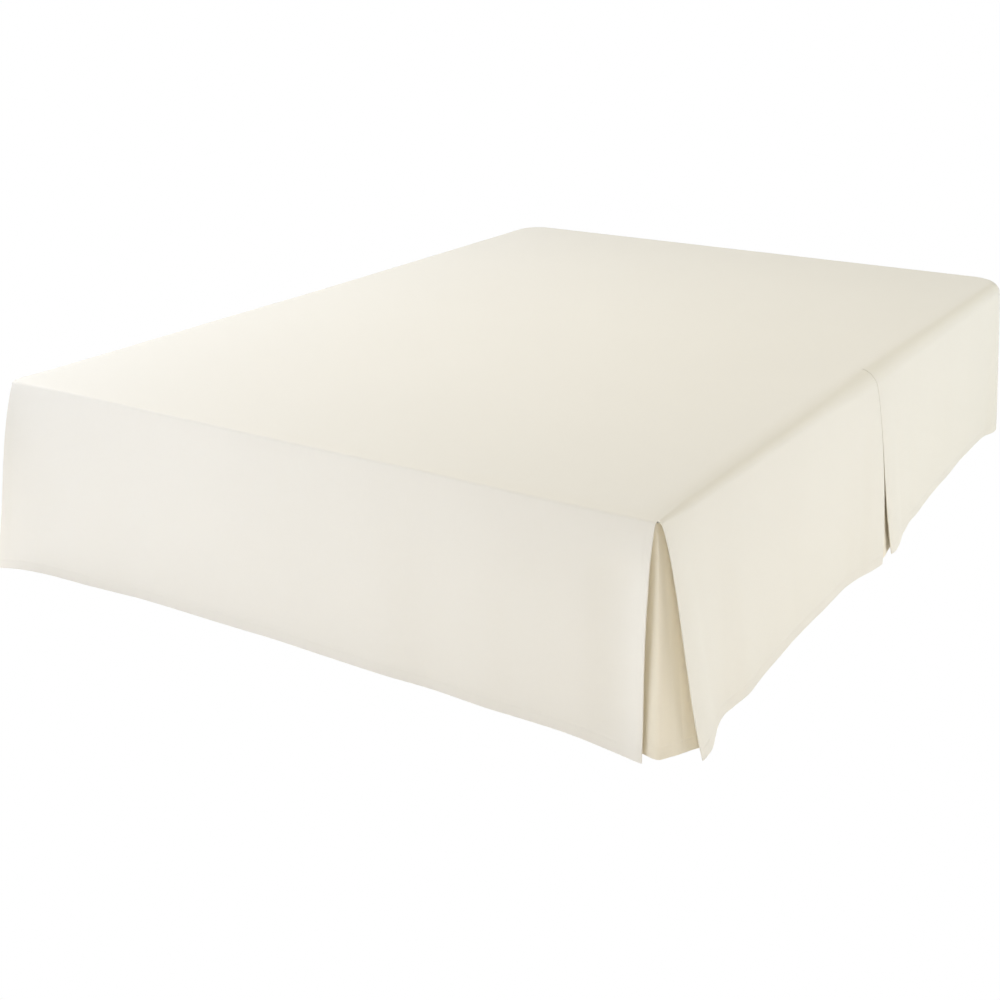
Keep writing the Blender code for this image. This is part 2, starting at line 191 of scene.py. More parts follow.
base_low, base_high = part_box("bed_base")
bed_middle = (base_low + base_high) / 2
half_width = (base_high.x - base_low.x) / 2 + BASE_INSET
half_length = (base_high.y - base_low.y) / 2 + BASE_INSET
foot_line = bed_middle.y - half_length
head_line = bed_middle.y + half_length
deck_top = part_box("deck")[1].z
head_arc = HEAD_CORNER * math.pi / 2
side_end = 2 * half_length - HEAD_CORNER
print(f"bed {2 * half_width:.3f} by {2 * half_length:.3f}, deck at {deck_top:.3f}")


# %% Walk along the edge
def foot_edge(across):
    """Point and outward direction on the foot edge, measured from the middle of the bed."""
    return Vector((across, foot_line)), Vector((0.0, -1.0))


def arc_point(centre, radius, angle):
    """Point and outward direction on a corner arc, angle measured from +X."""
    outward = Vector((math.cos(angle), math.sin(angle)))
    return centre + radius * outward, outward


def side_edge(along, foot_corner=0.0):
    """Point and outward direction on the right edge, from the foot corner and round both ends."""
    foot_arc = foot_corner * math.pi / 2
    side_length = side_end - foot_corner
    if along < -foot_arc:
        return foot_edge(half_width - foot_corner + along + foot_arc)
    if along < 0:
        centre = Vector((half_width - foot_corner, foot_line + foot_corner))
        return arc_point(centre, foot_corner, along / foot_corner)
    if along <= side_length:
        return Vector((half_width, foot_line + foot_corner + along)), Vector((1.0, 0.0))
    beyond = along - side_length
    if beyond <= head_arc:
        centre = Vector((half_width - HEAD_CORNER, head_line - HEAD_CORNER))
        return arc_point(centre, HEAD_CORNER, beyond / HEAD_CORNER)
    past = beyond - head_arc
    return Vector((half_width - HEAD_CORNER - past, head_line)), Vector((0.0, 1.0))


UNDERLAY_CORNER = 0.020


def underlay_edge(along):
    """The side edge with the rounder foot corner that an underlay takes."""
    return side_edge(along, UNDERLAY_CORNER)


# %% [markdown]
# ## Folds and creases
#
# A fold of a hanging panel is described at its hem, where it is largest: how far it stands off
# the bed, how far it drifts sideways and how much it lifts. A short table with one row for each
# fold is easier to read and to change than a mesh of points. A smooth curve through the rows
# gives the cloth between them. Creases are a second, gentler kind of relief, each one a soft
# trough or ridge that runs down part of a panel. Its row says where it is at the seam and at
# the hem, over which share of the drop it runs, and how wide and how high it is.

# %% Folds of the foot panel
CRISP_ROLL = 0.004
SOFT_ROLL = 0.024
SEAM_BAND = 0.002
SEAM_GAP = 0.0006

Fold = namedtuple("Fold", "along out slide lift")

FOOT_FOLDS = (
    Fold(-0.6830, 0.0395, -0.043, 0.000),
    Fold(-0.6600, 0.0305, -0.032, 0.001),
    Fold(-0.6250, 0.0220, -0.020, 0.002),
    Fold(-0.5700, 0.0150, -0.008, 0.001),
    Fold(-0.5000, 0.0090, -0.003, 0.000),
    Fold(-0.4300, 0.0035, 0.000, 0.000),
    Fold(-0.3600, 0.0005, 0.000, 0.001),
    Fold(-0.2000, 0.0000, 0.000, 0.000),
    Fold(-0.0500, 0.0010, 0.000, 0.001),
    Fold(0.0500, 0.0025, 0.000, 0.000),
    Fold(0.1700, 0.0055, 0.000, 0.000),
    Fold(0.2900, 0.0055, 0.000, 0.001),
    Fold(0.4000, 0.0100, 0.000, 0.000),
    Fold(0.5200, 0.0125, 0.000, 0.002),
    Fold(0.5700, 0.0150, 0.001, 0.001),
    Fold(0.6100, 0.0165, 0.002, -0.002),
    Fold(0.6500, 0.0215, 0.002, -0.003),
    Fold(0.6805, 0.0300, 0.003, -0.001),
)
print(len(FOOT_FOLDS), "folds across the foot")

# %% Folds of the side panels
PANEL_END = CRISP_ROLL + SEAM_BAND + SEAM_GAP
CENTRE_SPLIT = 0.9355
SPLIT_GAP = 0.0020

NEAR_PANEL_FOLDS = (
    Fold(PANEL_END, 0.0740, 0.022, -0.001),
    Fold(0.0480, 0.0705, 0.019, 0.000),
    Fold(0.0900, 0.0585, 0.015, 0.001),
    Fold(0.1330, 0.0470, 0.011, 0.001),
    Fold(0.1680, 0.0425, 0.008, 0.001),
    Fold(0.2000, 0.0435, 0.004, 0.000),
    Fold(0.2600, 0.0462, 0.000, 0.000),
    Fold(0.3500, 0.0412, 0.000, 0.001),
    Fold(0.4500, 0.0365, 0.000, 0.000),
    Fold(0.5600, 0.0338, 0.000, 0.001),
    Fold(0.6800, 0.0325, -0.003, 0.000),
    Fold(0.7600, 0.0328, -0.008, 0.001),
    Fold(0.8200, 0.0400, -0.014, 0.001),
    Fold(0.8800, 0.0485, -0.022, 0.000),
    Fold(CENTRE_SPLIT - SPLIT_GAP / 2, 0.0540, -0.030, -0.001),
)
FAR_PANEL_FOLDS = (
    Fold(CENTRE_SPLIT + SPLIT_GAP / 2, 0.0530, 0.026, -0.001),
    Fold(0.9600, 0.0545, 0.020, 0.000),
    Fold(1.0000, 0.0510, 0.014, 0.001),
    Fold(1.0700, 0.0395, 0.007, 0.001),
    Fold(1.1500, 0.0280, 0.001, 0.000),
    Fold(1.2300, 0.0240, 0.000, 0.000),
    Fold(1.3200, 0.0180, 0.000, 0.001),
    Fold(1.4100, 0.0140, 0.000, 0.000),
    Fold(1.5000, 0.0095, 0.000, 0.000),
    Fold(1.6000, 0.0045, 0.000, 0.001),
    Fold(1.7000, 0.0020, 0.000, 0.000),
    Fold(side_end - 0.030, 0.0015, 0.000, 0.000),
    Fold(side_end, 0.0060, 0.000, 0.000),
    Fold(side_end + head_arc * 0.25, 0.0220, 0.000, 0.000),
    Fold(side_end + head_arc * 0.50, 0.0360, 0.000, -0.001),
    Fold(side_end + head_arc * 0.75, 0.0220, 0.000, 0.000),
    Fold(side_end + head_arc, 0.0080, 0.000, 0.000),
    Fold(side_end + head_arc + HEAD_RETURN, 0.0060, 0.000, 0.000),
)
print(len(NEAR_PANEL_FOLDS), "and", len(FAR_PANEL_FOLDS), "folds along a side")

# %% Folds of the underlays
CORNER_UNDERLAY_FOLDS = (
    Fold(-0.1200, 0.0060, 0.000, 0.000),
    Fold(-0.0600, 0.0100, 0.000, 0.000),
    Fold(-0.0300, 0.0175, 0.000, 0.001),
    Fold(-0.0235, 0.0240, 0.000, 0.002),
    Fold(-0.0155, 0.0380, 0.000, 0.000),
    Fold(-0.0115, 0.0340, 0.000, -0.003),
    Fold(-0.0060, 0.0350, 0.000, -0.003),
    Fold(0.0000, 0.0455, 0.000, 0.000),
    Fold(0.0120, 0.0560, 0.000, 0.003),
    Fold(0.0240, 0.0640, 0.000, 0.004),
    Fold(0.0400, 0.0620, 0.000, 0.003),
    Fold(0.0700, 0.0555, 0.000, 0.000),
    Fold(0.1000, 0.0470, 0.000, 0.000),
    Fold(0.1300, 0.0400, 0.000, 0.000),
)
CENTRE_UNDERLAY_FOLDS = (
    Fold(CENTRE_SPLIT - 0.090, 0.0340, 0.000, -0.006),
    Fold(CENTRE_SPLIT - 0.040, 0.0400, 0.000, -0.007),
    Fold(CENTRE_SPLIT, 0.0470, 0.000, -0.009),
    Fold(CENTRE_SPLIT + 0.035, 0.0440, 0.000, -0.007),
    Fold(CENTRE_SPLIT + 0.090, 0.0380, 0.000, -0.006),
)
print(len(CORNER_UNDERLAY_FOLDS), "folds in a corner underlay")


# %% Read a table of folds at any place
SAME_PLACE = 1e-6


def curve_between(before, start, end, after, values, at):
    """Smooth curve through four neighbouring (place, value) pairs, read between the middle two."""
    width = end - start
    t = (at - start) / width
    v0, v1, v2, v3 = values
    slope_1 = (v2 - v0) / (end - before) * width
    slope_2 = (v3 - v1) / (after - start) * width
    return (v1 * (2 * t ** 3 - 3 * t ** 2 + 1) + slope_1 * (t ** 3 - 2 * t ** 2 + t)
            + v2 * (3 * t ** 2 - 2 * t ** 3) + slope_2 * (t ** 3 - t ** 2))


def fold_at(folds, at):
    """The table of folds read at any place between its first and last rows."""
    last = len(folds) - 1
    at = min(max(at, folds[0].along), folds[-1].along)
    index = max(i for i in range(last) if folds[i].along <= at + SAME_PLACE)
    near = [folds[max(index - 1, 0)], folds[index], folds[index + 1], folds[min(index + 2, last)]]
    places = [fold.along for fold in near]
    read = [curve_between(*places, [fold[column] for fold in near], at) for column in (1, 2, 3)]
    return Fold(at, *read)


def evened(folds):
    """The same hem with its inner folds smoothed towards their neighbours."""
    inner = []
    for before, fold, after in zip(folds, folds[1:], folds[2:]):
        inner.append(fold._replace(out=(before.out + 2 * fold.out + after.out) / 4))
    return (folds[0], *inner, folds[-1])


# %% Tables of the rounded shoulder
Sag = namedtuple("Sag", "along drop")

FOOT_SHOULDER = (
    Sag(-0.686, 0.0040),
    Sag(-0.500, 0.0020),
    Sag(-0.250, 0.0035),
    Sag(0.000, 0.0045),
    Sag(0.250, 0.0030),
    Sag(0.450, 0.0045),
    Sag(0.686, 0.0035),
)
SIDE_SHOULDER = (
    Sag(0.000, 0.0030),
    Sag(0.120, 0.0045),
    Sag(0.350, 0.0065),
    Sag(0.600, 0.0070),
    Sag(0.940, 0.0075),
    Sag(1.400, 0.0060),
    Sag(1.905, 0.0030),
)
SHOULDER_WIDTH = 0.040
LEFT_SHOULDER_SHARE = 0.5


def swell(t):
    """A smooth step from 0 to 1."""
    t = min(max(t, 0.0), 1.0)
    return t * t * (3 - 2 * t)


def read_at(rows, along):
    """The second column of a table, read smoothly at any place between two of its rows."""
    along = min(max(along, rows[0].along), rows[-1].along)
    before, after = next(pair for pair in zip(rows, rows[1:]) if along <= pair[1].along)
    share = swell((along - before.along) / (after.along - before.along))
    return before[1] + (after[1] - before[1]) * share


def shoulder_drop(place):
    """How far the cloth lies below the middle of the deck, near the foot and the sides."""
    from_foot = max(place.y - foot_line, 0.0)
    from_side = max(half_width - abs(place.x), 0.0)
    foot_share = max(1 - from_foot / SHOULDER_WIDTH, 0.0) ** 2
    side_share = max(1 - from_side / SHOULDER_WIDTH, 0.0) ** 2
    if place.x < 0:
        side_share *= LEFT_SHOULDER_SHARE
    return math.hypot(read_at(FOOT_SHOULDER, place.x) * foot_share,
                      read_at(SIDE_SHOULDER, from_foot) * side_share)


# %% Tables of creases
Crease = namedtuple("Crease", "at_top at_hem starts ends width rise")

FOOT_CREASES = (
    Crease(-0.560, -0.585, 0.25, 1.00, 0.030, -0.0012),
    Crease(-0.330, -0.345, 0.35, 1.00, 0.045, 0.0010),
    Crease(-0.080, -0.070, 0.45, 1.00, 0.040, -0.0008),
    Crease(0.190, 0.200, 0.40, 1.00, 0.040, 0.0010),
    Crease(0.430, 0.445, 0.30, 1.00, 0.035, -0.0010),
    Crease(0.632, 0.640, 0.12, 0.82, 0.050, -0.0050),
)
NEAR_PANEL_CREASES = (
    Crease(0.060, 0.115, 0.05, 0.85, 0.024, -0.0015),
    Crease(0.220, 0.265, 0.30, 1.00, 0.030, 0.0012),
    Crease(0.470, 0.480, 0.35, 1.00, 0.035, -0.0010),
    Crease(0.640, 0.630, 0.40, 1.00, 0.035, 0.0010),
    Crease(0.860, 0.820, 0.15, 1.00, 0.025, -0.0012),
)
FAR_PANEL_CREASES = (
    Crease(1.010, 1.060, 0.15, 1.00, 0.028, -0.0014),
    Crease(1.180, 1.200, 0.35, 1.00, 0.030, 0.0010),
    Crease(1.400, 1.410, 0.30, 1.00, 0.040, -0.0010),
    Crease(1.640, 1.650, 0.40, 1.00, 0.035, 0.0008),
)


FADE = 0.18


def crease_rise(creases, along, depth):
    """How far the creases lift the cloth outwards at one place."""
    rise = 0.0
    for crease in creases:
        centre = crease.at_top + (crease.at_hem - crease.at_top) * depth
        across = (along - centre) / crease.width
        reach = swell((depth - crease.starts) / FADE) * swell((crease.ends + FADE - depth) / FADE)
        rise += crease.rise * reach * math.exp(-across * across)
    return rise


# %% [markdown]
# ## A hanging panel
#
# A panel starts flat at its seam, turns over the edge of the bed and drops to its hem. Real
# cloth does three small things that a stiff sheet does not. Its seam sinks a little where it
# is sewn, its cut edges are turned back and stitched, so they are twice as thick, and those
# turned edges curl a little, inwards or outwards. The functions below put all three on one grid
# of points, which a Solidify modifier then gives its thickness. A Hang says how soon the folds
# open out below the seam, how evenly they do so, and how late they drift sideways.

# %% Turn a panel's sizes into rows
HEM_CLEARANCE = 0.006
Hang = namedtuple("Hang", "settle ease slide")
FOOT_HANG = Hang(4.0, 1.0, 3.0)
SIDE_HANG = Hang(1.0, 0.70, 4.0)
UNDERLAY_HANG = Hang(1.0, 0.70, 1.0)
SEAM_DIP = 0.0001
SEAM_STEPS = (0.0, 0.0006, 0.0013)
ROLL_STEPS = 7
DROP_STEP = 0.008
HEM_DEPTH = 0.020
HEM_STEPS = (0.0055, 0.0035, 0.0022, 0.0012, 0.0, -0.0012, -0.0022, -0.0035, -0.0055)
HEM_FOOT_STEPS = (0.0100, 0.0060, 0.0030, 0.0012, 0.0)

Row = namedtuple("Row", "inset height depth")
Roll = namedtuple("Roll", "along radius")
SIDE_ROLLS = (
    Roll(0.000, CRISP_ROLL),
    Roll(0.120, 0.0110),
    Roll(0.500, 0.0125),
    Roll(0.950, SOFT_ROLL),
)


def side_roll(along):
    """Radius of the soft roll at the top of a side panel."""
    return read_at(SIDE_ROLLS, along)


def foot_roll(across):
    """Radius of the crisp turn at the top of the foot panel."""
    return CRISP_ROLL


def row_depth(height, hem):
    """How far down the drop a height is, from 0 at the deck to 1 at the hem."""
    return (deck_top - height) / (deck_top - hem)


def drop_heights(top, hem):
    """Even steps down the drop, then closer ones round the hem's stitch line and its fold."""
    stitch_line = hem + HEM_DEPTH
    free = top - (stitch_line + HEM_STEPS[0])
    count = round((deck_top - SOFT_ROLL - HEM_DEPTH) / DROP_STEP)
    heights = [top - free * i / count for i in range(1, count)]
    heights += [stitch_line + step for step in HEM_STEPS]
    return heights + [hem + step for step in HEM_FOOT_STEPS]


def panel_rows(roll, hem):
    """Inset, height and depth down a panel: sunk seam, turn over the edge, drop and hem."""
    rows = []
    for step in SEAM_STEPS:
        dip = SEAM_DIP * (1 - step / SEAM_BAND) ** 2
        rows.append(Row(roll + SEAM_BAND - step, deck_top - dip, 0.0))
    for i in range(ROLL_STEPS + 1):
        angle = i / ROLL_STEPS * math.pi / 2
        height = deck_top - roll + roll * math.cos(angle)
        rows.append(Row(roll - roll * math.sin(angle), height, row_depth(height, hem)))
    for height in drop_heights(deck_top - roll, hem):
        rows.append(Row(0.0, height, row_depth(height, hem)))
    return rows


UNDERLAY_INSET = 0.003
UNDERLAY_HEM_LIFT = 0.007


def underlay_rows(roll, hem):
    """Inset, height and depth down an underlay, which starts just below the panels' turn."""
    top = deck_top - roll - SEAM_GAP
    heights = [top] + drop_heights(top, hem)
    return [Row(UNDERLAY_INSET, height, row_depth(height, hem)) for height in heights]


# %% Find any point of a panel
WAVE_RISE = 0.0006
WAVES_ALONG = 7.0
WAVES_DOWN = 2.5
WAVE_ONSET = 5.0
HEM_TROUGH = 0.0004
TROUGH_WIDTH = 0.0022
CURL_FADE = 0.90

Curl = namedtuple("Curl", "inwards width")

# A panel's edge, roll and rows are functions, its lift raises the whole hem, a mirrored one
# hangs on the left side, and its step is the distance between columns of points.
Panel = namedtuple("Panel", "name edge roll rows hang folds creases curls lift mirror step")


def end_curl(panel, along, depth):
    """How far a turned side edge curls inwards, for either end of a panel."""
    start, end = panel.folds[0].along, panel.folds[-1].along
    inwards = 0.0
    for gap, curl in ((along - start, panel.curls[0]), (end - along, panel.curls[1])):
        near = max(1 - gap / curl.width, 0.0)
        inwards += curl.inwards * near * near * swell(depth / CURL_FADE)
    return inwards


def relief(panel, along, height, depth, hem):
    """All the low relief of a panel: waves, creases, rolled edges and the stitched hem."""
    wave = noise.noise(Vector((along * WAVES_ALONG, height * WAVES_DOWN, len(panel.name))))
    from_line = (height - hem - HEM_DEPTH) / TROUGH_WIDTH
    trough = HEM_TROUGH * math.exp(-from_line * from_line)
    return (wave * WAVE_RISE * swell(depth * WAVE_ONSET) + crease_rise(panel.creases, along, depth)
            - end_curl(panel, along, depth) - trough)


def out_share(hang, depth):
    """How much of a fold's full stand-off is reached at one depth down the drop."""
    return (1 - (1 - depth) ** hang.settle) ** hang.ease


def panel_point(panel, fold, row, hem):
    """One point of a panel's outer face."""
    point, outward = panel.edge(fold.along)
    forward = Vector((-outward.y, outward.x))
    stand_off = fold.out * out_share(panel.hang, row.depth) - row.inset
    if row.depth > 0:
        stand_off += relief(panel, fold.along, row.height, row.depth, hem)
    drift = fold.slide * row.depth ** panel.hang.slide
    place = point + outward * stand_off + forward * drift
    hand = -1.0 if panel.mirror else 1.0
    rest = point - outward * row.inset
    drop = shoulder_drop(Vector((hand * rest.x, rest.y))) * (1 - row.depth)
    return Vector((hand * place.x, place.y, row.height - drop))


def hem_height(panel, fold):
    """Height of the hem below one place on the edge."""
    return HEM_CLEARANCE + panel.lift + fold.lift


# %% [markdown]
# ## From a grid of points to cloth
#
# The points become a sheet one face thick, with a map in metres laid over it, so that a weave
# drawn on the map runs with the cloth wherever it hangs. Solidify then thickens it inwards:
# half as much in the middle as at the turned edges, which a vertex group marks. A small bevel
# rounds the rim where it hangs free, since a folded edge is never sharp. At a seam the edges
# stay square, so that the two cloths meet along a fine line.

# %% Make a cloth sheet
HEM_THICKNESS = 0.0020
SINGLE_SHARE = 0.5
RIM_ROUND = 0.0006
RIM_SEGMENTS = 2
RIM_ANGLE = math.radians(50)
SEWN_DEPTH = 0.013
SIDE_HEM = 0.013
HEM_EDGE = 0.002


def turned_back(from_edge, hem):
    """1 where the cloth is turned back double, 0 elsewhere, with a narrow step between."""
    return swell((hem - from_edge) / HEM_EDGE + 1)


def cloth_from_grid(name, grid, flat_map, weights, flip):
    """A closed thin sheet from a grid of outer points, with its map and hem thickness."""
    bm = bmesh.new()
    verts = [[point and bm.verts.new(point) for point in column] for column in grid]
    layer = bm.loops.layers.uv.new("cloth_map")
    for c in range(len(grid) - 1):
        for r in range(len(grid[0]) - 1):
            corners = [(c, r), (c, r + 1), (c + 1, r + 1), (c + 1, r)]
            if any(verts[i][j] is None for i, j in corners):
                continue
            if flip:
                corners.reverse()
            face = bm.faces.new([verts[i][j] for i, j in corners])
            face.smooth = True
            for loop, (i, j) in zip(face.loops, corners):
                loop[layer].uv = flat_map[i][j]
    mesh = bpy.data.meshes.new(name)
    bm.to_mesh(mesh)
    bm.free()
    sheet = bpy.data.objects.new(name, mesh)
    scene.collection.objects.link(sheet)
    hems = sheet.vertex_groups.new(name="turned_hems")
    made = [weight for column, points in zip(weights, grid)
            for weight, point in zip(column, points) if point]
    for index, weight in enumerate(made):
        hems.add([index], weight, 'REPLACE')
    thicken(sheet)
    return sheet


def mark_rims(sheet):
    """Mark the sharp edges that hang free, and leave out those that are sewn at a seam."""
    bm = bmesh.new()
    bm.from_mesh(sheet.data)
    mark = bm.edges.layers.float.new("bevel_weight_edge")
    for edge in bm.edges:
        hangs = min(vert.co.z for vert in edge.verts) < deck_top - SEWN_DEPTH
        edge[mark] = 1.0 if hangs and edge.calc_face_angle(0.0) > RIM_ANGLE else 0.0
    bm.to_mesh(sheet.data)
    bm.free()


def thicken(sheet):
    """Give an open sheet its thickness and a rounded rim, and apply both."""
    bpy.ops.object.select_all(action='DESELECT')
    bpy.context.view_layer.objects.active = sheet
    sheet.select_set(True)
    solid = sheet.modifiers.new("cloth thickness", 'SOLIDIFY')
    solid.thickness = HEM_THICKNESS
    solid.offset = -1.0
    solid.use_even_offset = True
    solid.vertex_group = "turned_hems"
    solid.thickness_vertex_group = SINGLE_SHARE
    bpy.ops.object.modifier_apply(modifier=solid.name)
    mark_rims(sheet)
    rim = sheet.modifiers.new("rounded rim", 'BEVEL')
    rim.width = RIM_ROUND
    rim.segments = RIM_SEGMENTS
    rim.limit_method = 'WEIGHT'
    bpy.ops.object.modifier_apply(modifier=rim.name)
    sheet.data.shade_smooth()
    sheet.data.set_sharp_from_angle(angle=RIM_ANGLE)
    sheet.select_set(False)
    print(f"{sheet.name}: {len(sheet.data.polygons)} faces")


# %% Hang a panel
END_STEPS = (0.0, 0.0012, 0.0030, 0.0060, 0.0095, 0.0112, 0.0121, 0.0130, 0.0139, 0.0150, 0.0180)


def panel_places(panel):
    """Distances along the edge where a panel has a column, closer together at its ends."""
    start, end = panel.folds[0].along, panel.folds[-1].along
    first, last = start + END_STEPS[-1], end - END_STEPS[-1]
    count = round((last - first) / panel.step)
    middle = [first + (last - first) * i / count for i in range(1, count)]
    return ([start + step for step in END_STEPS] + middle
            + [end - step for step in reversed(END_STEPS)])


def hang_panel(panel):
    """Hang one panel from its edge as a finished sheet of cloth."""
    grid, flat_map, weights = [], [], []
    places = panel_places(panel)
    for along in places:
        fold = fold_at(panel.folds, along)
        hem = hem_height(panel, fold)
        rows = panel.rows(panel.roll(along), hem)
        column = [panel_point(panel, fold, row, hem) for row in rows]
        down, run = [0.0], 0.0
        for upper, lower in zip(column, column[1:]):
            run += (lower - upper).length
            down.append(run)
        from_side = min(along - places[0], places[-1] - along)
        grid.append(column)
        flat_map.append([(along, -run) for run in down])
        weights.append([max(turned_back(from_side, SIDE_HEM),
                            turned_back(row.height - hem, HEM_DEPTH)) for row in rows])
    return cloth_from_grid(panel.name, grid, flat_map, weights, panel.mirror)


# %% Hang the foot panel
PANEL_STEP = 0.008
FOOT_CURLS = (Curl(-0.006, 0.035), Curl(0.0015, 0.014))

foot_panel = Panel("foot_cloth", foot_edge, foot_roll, panel_rows, FOOT_HANG, FOOT_FOLDS,
                   FOOT_CREASES, FOOT_CURLS, 0.0, False, PANEL_STEP)
panels = {"foot_panel": (foot_panel, hang_panel(foot_panel))}

# %% Hang the side panels and their underlays
SOFT_CURL = Curl(0.0012, 0.014)
NO_CURL = Curl(0.0, 0.014)
CORNER_STEP = 0.002
CENTRE_STEP = 0.006

for hand in ("right", "left"):
    left = hand == "left"
    settle = evened if left else tuple
    for part, folds, creases in (("near", NEAR_PANEL_FOLDS, NEAR_PANEL_CREASES),
                                 ("far", FAR_PANEL_FOLDS, FAR_PANEL_CREASES)):
        panel = Panel(f"side_cloth_{hand}_{part}", side_edge, side_roll, panel_rows, SIDE_HANG,
                      settle(folds), creases, (SOFT_CURL, SOFT_CURL), 0.0, left, PANEL_STEP)
        panels[f"side_panel_{hand}_{part}"] = (panel, hang_panel(panel))
    for part, edge, folds, step in (("corner", underlay_edge, CORNER_UNDERLAY_FOLDS, CORNER_STEP),
                                    ("centre", side_edge, CENTRE_UNDERLAY_FOLDS, CENTRE_STEP)):
        panel = Panel(f"{part}_underlay_cloth_{hand}", edge, side_roll, underlay_rows,
                      UNDERLAY_HANG, settle(folds), (), (NO_CURL, NO_CURL), UNDERLAY_HEM_LIFT,
                      left, step)
        panels[f"{part}_underlay_{hand}"] = (panel, hang_panel(panel))

# %% [markdown]
# ## The deck
#
# The deck is the only flat piece. Its outline is the panels' seam, and at the head its own hem
# is turned down over the edge of the base. Columns of points run up the bed and spread out to
# meet the outline on both sides, and rows get closer near a seam, where the cloth sinks a hair
# into the stitching. The head hem is narrower than the deck, so its rows are empty outside its
# own columns, and no cloth is made there.

# %% Find the deck's outline
DECK_STEP = 0.020
RIM_STEPS = (0.0, 0.0006, 0.0013, 0.0025, 0.0050, 0.0100, 0.0160, 0.0230, 0.0310, 0.0400)
HEAD_FLAP_DROP = 0.030
HEAD_FLAP_START = 0.006
HEAD_FLAP_GAP = 0.004
HEAD_STITCH_LINE = 0.016
ARC_STEPS = 14

deck_foot = foot_line + CRISP_ROLL + SEAM_BAND
deck_head = head_line - SOFT_ROLL - SEAM_BAND
corner_y = head_line - HEAD_CORNER
corner_radius = deck_head - corner_y
flap_half = half_width - HEAD_CORNER - HEAD_RETURN - HEAD_FLAP_GAP


def deck_half_width(y):
    """Half the deck's width at one place along the bed."""
    if y <= corner_y:
        return half_width - side_roll(y - foot_line) - SEAM_BAND
    rise = min((y - corner_y) / corner_radius, 1.0)
    return half_width - HEAD_CORNER + corner_radius * math.sqrt(1 - rise * rise)


def deck_rows():
    """Places along the bed where the deck has a row of points."""
    start = deck_foot + RIM_STEPS[-1]
    count = round((corner_y - start) / DECK_STEP)
    rows = [deck_foot + step for step in RIM_STEPS]
    rows += [start + (corner_y - start) * i / count for i in range(1, count + 1)]
    angles = [math.pi / 2 * i / ARC_STEPS for i in range(1, ARC_STEPS + 1)]
    return rows + [corner_y + corner_radius * math.sin(angle) for angle in angles]


def deck_shares():
    """Places across the deck, as shares of the half width inside the rim steps."""
    inner = flap_half / (deck_half_width(deck_head) - RIM_STEPS[-1])
    count = round(flap_half / DECK_STEP)
    shares = [inner * i / count for i in range(count + 1)]
    outer = round((1 - inner) * half_width / DECK_STEP)
    return shares + [inner + (1 - inner) * i / outer for i in range(1, outer + 1)]


def deck_columns(y, shares):
    """x of every point of one row, from the left rim to the right one."""
    rim = deck_half_width(y)
    inside = rim - RIM_STEPS[-1]
    half = [inside * share for share in shares] + [rim - step for step in RIM_STEPS[-2::-1]]
    return [-x for x in reversed(half[1:])] + half


# %% Shape the deck's face
DECK_WAVE = 0.0007
DECK_WAVE_LIFT = 0.5
DECK_WAVE_SEED = 3.0
DECK_WAVES = 2.2
CALM_EDGE = 0.10


def seam_distance(x, y):
    """How far a point of the deck is from the nearest seam."""
    from_side = deck_half_width(y) - abs(x)
    if y > corner_y and abs(x) > half_width - HEAD_CORNER:
        spread = Vector((abs(x) - half_width + HEAD_CORNER, y - corner_y)).length
        from_side = corner_radius - spread
    from_head = deck_head - y if abs(x) > flap_half + SAME_PLACE else from_side
    return max(min(from_side, from_head, y - deck_foot), 0.0)


def deck_height(x, y):
    """Height of the deck's face: broad low waves, sinking into the seam at the rim."""
    wave = noise.noise(Vector((x * DECK_WAVES, y * DECK_WAVES, DECK_WAVE_SEED)))
    from_seam = seam_distance(x, y)
    near = max(1 - from_seam / SEAM_BAND, 0.0)
    calm = swell(from_seam / CALM_EDGE) * swell((deck_head - y) / CALM_EDGE)
    return (deck_top + DECK_WAVE * (wave + DECK_WAVE_LIFT) * calm - SEAM_DIP * near * near
            - shoulder_drop(Vector((x, y))))


def head_hem_path():
    """(y, z) down the deck's head hem, from its turn to its stitched end."""
    path = []
    for i in range(ROLL_STEPS + 1):
        angle = i / ROLL_STEPS * math.pi / 2
        path.append((head_line - SOFT_ROLL * (1 - math.sin(angle)),
                     deck_top - SOFT_ROLL * (1 - math.cos(angle))))
    turned = deck_top - SOFT_ROLL
    line = HEAD_FLAP_DROP - HEAD_STITCH_LINE
    steps = [line + step for step in HEM_STEPS] + [HEAD_FLAP_START, HEAD_FLAP_DROP]
    for step in sorted(steps):
        trough = HEM_TROUGH * math.exp(-((step - line) / TROUGH_WIDTH) ** 2)
        path.append((head_line - trough, turned - step))
    return path


# %% Lay the deck
shares = deck_shares()
grid, flat_map, weights = [], [], []
for y in deck_rows():
    xs = deck_columns(y, shares)
    grid.append([Vector((x, y, deck_height(x, y))) for x in xs])
    flat_map.append([(x, y) for x in xs])
    weights.append([0.0] * len(xs))

head_row = grid[-1]
run = deck_head
before = (deck_head, deck_top)
for y, z in head_hem_path():
    run += math.hypot(y - before[0], z - before[1])
    before = (y, z)
    from_end = HEAD_FLAP_DROP - (deck_top - SOFT_ROLL - z)
    turned = turned_back(from_end, HEAD_STITCH_LINE)
    inside = [abs(point.x) <= flap_half + SAME_PLACE for point in head_row]
    grid.append([Vector((point.x, y, z)) if here else None
                 for point, here in zip(head_row, inside)])
    flat_map.append([(point.x, run) for point in head_row])
    weights.append([turned] * len(head_row))
deck = cloth_from_grid("deck_cloth", grid, flat_map, weights, False)
print("head hem ends at", round(deck_top - SOFT_ROLL - HEAD_FLAP_DROP, 3))

# %% [markdown]
# ## Sewing the hems
#
# Every turned edge is held by a line of lockstitches, each about two and a half millimetres
# long with a hair of space before the next. One bead is modelled from a small sphere, and its
# faces are then copied along the hem into a single mesh for each cloth. The beads sit half
# sunk in the shallow groove that the thread pulls into the cloth.

